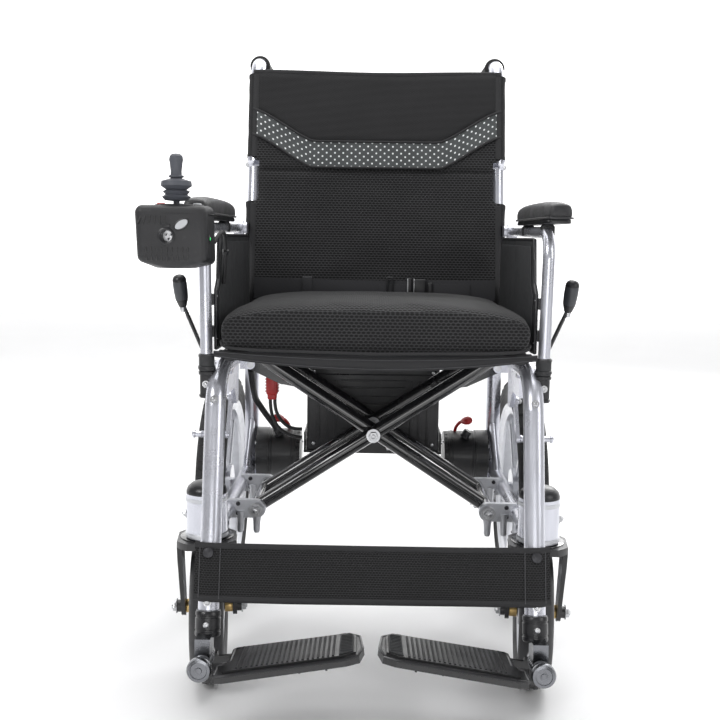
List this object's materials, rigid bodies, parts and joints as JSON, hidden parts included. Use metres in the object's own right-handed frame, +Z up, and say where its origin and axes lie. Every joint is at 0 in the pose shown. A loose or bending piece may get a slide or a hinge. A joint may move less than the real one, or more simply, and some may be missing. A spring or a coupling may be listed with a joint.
{
  "type": "power wheelchair",
  "caption": "Folding power wheelchair: scissor-braced tube frame, mesh seat and back, arm joystick, gear motors, swivel casters, flip-up arms and footplates.",
  "frame": {"origin": "on the floor under the middle of the whole chair's box, with the two wheel planes at equal distance", "axes": "+Z up, the front of the chair faces -Y, +X is the occupant's left"},
  "size_m": [0.6169, 0.8269, 0.9985],
  "materials": {
    "silver_tube": "satin anodised tube",
    "cast_silver": "cast, satin",
    "black_paint": "gloss black",
    "dark_chrome": "dark chrome",
    "black_plastic": "moulded black",
    "pad_foam": "grained black pad skin",
    "mesh_fabric": "black spacer mesh",
    "web_fabric": "black webbing",
    "tyre_rubber": "black tyre rubber",
    "rim_silver": "silver painted alloy",
    "red_plastic": "red",
    "grey_plastic": "light grey",
    "grip_rubber": "black rubber"
  },
  "bodies": {
    "right_frame": {"right_side_frame": "silver_tube", "right_clevises": "cast_silver", "right_caster_housing": "silver_tube", "right_arm_socket": "black_plastic", "right_drive_motor": "black_paint", "right_gearbox": "black_paint", "right_footrest_bracket": "dark_chrome", "calf_strap": "mesh_fabric", "back_cover_lower": "mesh_fabric", "motor_cable": "grip_rubber"},
    "left_frame": {"left_side_frame": "silver_tube", "left_clevises": "cast_silver", "left_caster_housing": "silver_tube", "left_arm_socket": "black_plastic", "left_drive_motor": "black_paint", "left_gearbox": "black_paint", "left_footrest_bracket": "dark_chrome"},
    "brace_a": {"brace_a": "black_paint"},
    "brace_b": {"brace_b": "black_paint"},
    "seat_rail_right": {"seat_tube_right": "black_paint", "seat_sling": "web_fabric", "seat_cushion": "mesh_fabric", "seat_belt": "web_fabric"},
    "seat_rail_left": {"seat_tube_left": "black_paint"},
    "battery_carrier": {"battery_tray": "black_paint"},
    "battery": {"battery_box": "black_plastic"},
    "link_right": {"link_right": "black_paint"},
    "link_left": {"link_left": "black_paint"},
    "right_armrest": {"right_arm_tube": "silver_tube", "right_arm_pad": "pad_foam", "right_skirt_guard": "black_plastic", "controller_housing": "black_plastic", "controller_cable": "grip_rubber"},
    "joystick_ring": {"joystick_gimbal": "grey_plastic"},
    "joystick": {"joystick_stick": "black_plastic"},
    "power_button": {"power_button": "red_plastic"},
    "horn_button": {"horn_button": "grey_plastic"},
    "speed_button": {"speed_button": "grey_plastic"},
    "left_armrest": {"left_arm_tube": "silver_tube", "left_arm_pad": "pad_foam", "left_skirt_guard": "black_plastic"},
    "right_brake_lever": {"right_brake_lever": "black_paint"},
    "left_brake_lever": {"left_brake_lever": "black_paint"},
    "right_brake_shoe": {"right_brake_shoe": "silver_tube"},
    "left_brake_shoe": {"left_brake_shoe": "silver_tube"},
    "right_drive_wheel": {"right_rear_tyre": "tyre_rubber", "right_rear_rim": "rim_silver"},
    "left_drive_wheel": {"left_rear_tyre": "tyre_rubber", "left_rear_rim": "rim_silver"},
    "right_caster_fork": {"right_caster_fork": "black_paint"},
    "left_caster_fork": {"left_caster_fork": "black_paint"},
    "right_caster_wheel": {"right_caster_wheel": "tyre_rubber"},
    "left_caster_wheel": {"left_caster_wheel": "tyre_rubber"},
    "right_foot_knuckle": {"right_foot_knuckle": "dark_chrome"},
    "left_foot_knuckle": {"left_foot_knuckle": "dark_chrome"},
    "right_footplate": {"right_footplate": "black_plastic"},
    "left_footplate": {"left_footplate": "black_plastic"},
    "right_upper_back": {"right_upper_cane": "silver_tube", "back_cover_upper": "mesh_fabric"},
    "left_upper_back": {"left_upper_cane": "silver_tube"}
  },
  "joints": [
    {"name": "frame_fold", "type": "hinge", "parent": "right_frame", "child": "brace_a", "pos_m": [-0.177, -0.0605, 0.25], "axis": [0, -1, 0], "range_deg": [0, 30.5], "deforming": ["seat_sling", "seat_cushion", "seat_belt", "calf_strap", "back_cover_lower", "back_cover_upper"]},
    {"name": "brace_cross", "type": "hinge", "parent": "brace_a", "child": "brace_b", "pos_m": [0, -0.0605, 0.36568], "axis": [0, -1, 0], "range_deg": [-63, 2]},
    {"name": "left_frame_pivot", "type": "hinge", "parent": "brace_b", "child": "left_frame", "pos_m": [0.177, -0.0605, 0.25], "axis": [0, -1, 0], "range_deg": [-2, 32.5]},
    {"name": "seat_rail_right_pivot", "type": "hinge", "parent": "brace_b", "child": "seat_rail_right", "pos_m": [-0.204, -0.0605, 0.499], "axis": [0, -1, 0], "range_deg": [-2, 32.5]},
    {"name": "seat_rail_left_pivot", "type": "hinge", "parent": "brace_a", "child": "seat_rail_left", "pos_m": [0.204, -0.0605, 0.499], "axis": [0, -1, 0], "range_deg": [-32.5, 2]},
    {"name": "battery_level", "type": "hinge", "parent": "brace_a", "child": "battery_carrier", "pos_m": [0, 0.0225, 0.36568], "axis": [0, -1, 0], "range_deg": [-32.5, 2]},
    {"name": "link_right_pivot", "type": "hinge", "parent": "right_frame", "child": "link_right", "pos_m": [-0.197, -0.0475, 0.461], "axis": [0, -1, 0], "range_deg": [-2, 76]},
    {"name": "link_left_pivot", "type": "hinge", "parent": "left_frame", "child": "link_left", "pos_m": [0.197, -0.0475, 0.461], "axis": [0, -1, 0], "range_deg": [-76, 2]},
    {"name": "right_foot_knuckle_turn", "type": "hinge", "parent": "right_frame", "child": "right_foot_knuckle", "pos_m": [-0.222, -0.3605, 0.105], "axis": [0, -0.9962, 0.0872], "range_deg": [-2, 62]},
    {"name": "left_foot_knuckle_turn", "type": "hinge", "parent": "left_frame", "child": "left_foot_knuckle", "pos_m": [0.222, -0.3605, 0.105], "axis": [0, -0.9962, 0.0872], "range_deg": [-62, 2]},
    {"name": "right_footplate_flip", "type": "hinge", "parent": "right_foot_knuckle", "child": "right_footplate", "pos_m": [-0.222, -0.3605, 0.105], "axis": [0, 0.9962, -0.0872], "range_deg": [-60, 0]},
    {"name": "left_footplate_flip", "type": "hinge", "parent": "left_foot_knuckle", "child": "left_footplate", "pos_m": [0.222, -0.3605, 0.105], "axis": [0, -0.9962, 0.0872], "range_deg": [-60, 0]},
    {"name": "battery_slide", "type": "slide", "parent": "battery_carrier", "child": "battery", "axis": [0, 1, 0], "range_m": [0, 0.2]},
    {"name": "right_armrest_flip", "type": "hinge", "parent": "right_frame", "child": "right_armrest", "pos_m": [-0.2434, 0.1645, 0.678], "axis": [-1, 0, 0], "range_deg": [0, 90]},
    {"name": "left_armrest_flip", "type": "hinge", "parent": "left_frame", "child": "left_armrest", "pos_m": [0.2434, 0.1645, 0.678], "axis": [-1, 0, 0], "range_deg": [0, 90]},
    {"name": "joystick_pitch", "type": "hinge", "parent": "right_armrest", "child": "joystick_ring", "pos_m": [-0.259, -0.3285, 0.697], "axis": [1, 0, 0], "range_deg": [-15, 15], "stiffness_Nm_per_rad": 0.6},
    {"name": "joystick_roll", "type": "hinge", "parent": "joystick_ring", "child": "joystick", "pos_m": [-0.259, -0.3285, 0.697], "axis": [0, 1, 0], "range_deg": [-15, 15], "stiffness_Nm_per_rad": 0.6},
    {"name": "power_button_press", "type": "slide", "parent": "right_armrest", "child": "power_button", "axis": [0, 0, -1], "range_m": [0, 0.0015], "stiffness_N_per_m": 250},
    {"name": "speed_button_press", "type": "slide", "parent": "right_armrest", "child": "speed_button", "axis": [0, 0, -1], "range_m": [0, 0.0015], "stiffness_N_per_m": 250},
    {"name": "horn_button_press", "type": "slide", "parent": "right_armrest", "child": "horn_button", "axis": [0, 0, -1], "range_m": [0, 0.0015], "stiffness_N_per_m": 250},
    {"name": "right_brake_swing", "type": "hinge", "parent": "right_frame", "child": "right_brake_lever", "pos_m": [-0.2438, -0.0355, 0.425], "axis": [1, 0, 0], "range_deg": [0, 30]},
    {"name": "left_brake_swing", "type": "hinge", "parent": "left_frame", "child": "left_brake_lever", "pos_m": [0.2438, -0.0355, 0.425], "axis": [1, 0, 0], "range_deg": [0, 30]},
    {"name": "right_shoe_swing", "type": "hinge", "parent": "right_frame", "child": "right_brake_shoe", "pos_m": [-0.2438, 0.0605, 0.389], "axis": [1, 0, 0], "range_deg": [-0.3, 8.4]},
    {"name": "left_shoe_swing", "type": "hinge", "parent": "left_frame", "child": "left_brake_shoe", "pos_m": [0.2438, 0.0605, 0.389], "axis": [1, 0, 0], "range_deg": [-0.3, 8.4]},
    {"name": "right_wheel_spin", "type": "hinge", "parent": "right_frame", "child": "right_drive_wheel", "pos_m": [-0.275, 0.1975, 0.203], "axis": [1, 0, 0], "continuous": true},
    {"name": "left_wheel_spin", "type": "hinge", "parent": "left_frame", "child": "left_drive_wheel", "pos_m": [0.275, 0.1975, 0.203], "axis": [1, 0, 0], "continuous": true},
    {"name": "right_caster_swivel", "type": "hinge", "parent": "right_frame", "child": "right_caster_fork", "pos_m": [-0.236, -0.2445, 0.24], "axis": [0, 0, 1], "range_deg": [-100, 128]},
    {"name": "left_caster_swivel", "type": "hinge", "parent": "left_frame", "child": "left_caster_fork", "pos_m": [0.236, -0.2445, 0.24], "axis": [0, 0, 1], "range_deg": [-128, 100]},
    {"name": "right_caster_roll", "type": "hinge", "parent": "right_caster_fork", "child": "right_caster_wheel", "pos_m": [-0.24206, -0.18682, 0.113], "axis": [0.9945, 0.1045, 0], "continuous": true},
    {"name": "left_caster_roll", "type": "hinge", "parent": "left_caster_fork", "child": "left_caster_wheel", "pos_m": [0.24206, -0.18682, 0.113], "axis": [0.9945, -0.1045, 0], "continuous": true},
    {"name": "back_fold_right", "type": "hinge", "parent": "right_frame", "child": "right_upper_back", "pos_m": [-0.221, 0.2545, 0.795], "axis": [-1, 0, 0], "range_deg": [0, 100]},
    {"name": "back_fold_left", "type": "hinge", "parent": "left_frame", "child": "left_upper_back", "pos_m": [0.221, 0.2545, 0.795], "axis": [-1, 0, 0], "range_deg": [0, 100]}
  ],
  "couplings": [
    {"joint": "brace_cross", "follows": "frame_fold", "ratio": -2},
    {"joint": "left_frame_pivot", "follows": "frame_fold", "ratio": 1},
    {"joint": "seat_rail_right_pivot", "follows": "frame_fold", "ratio": 1},
    {"joint": "seat_rail_left_pivot", "follows": "frame_fold", "ratio": -1},
    {"joint": "battery_level", "follows": "frame_fold", "ratio": -1},
    {"joint": "link_right_pivot", "follows": "frame_fold", "ratio": 2.31},
    {"joint": "link_left_pivot", "follows": "frame_fold", "ratio": -2.31},
    {"joint": "right_foot_knuckle_turn", "follows": "frame_fold", "ratio": 1.95},
    {"joint": "left_foot_knuckle_turn", "follows": "frame_fold", "ratio": -1.95},
    {"joint": "right_shoe_swing", "follows": "right_brake_swing", "ratio": 0.2767},
    {"joint": "left_shoe_swing", "follows": "left_brake_swing", "ratio": 0.2767},
    {"joint": "back_fold_left", "follows": "back_fold_right", "ratio": 1}
  ]
}
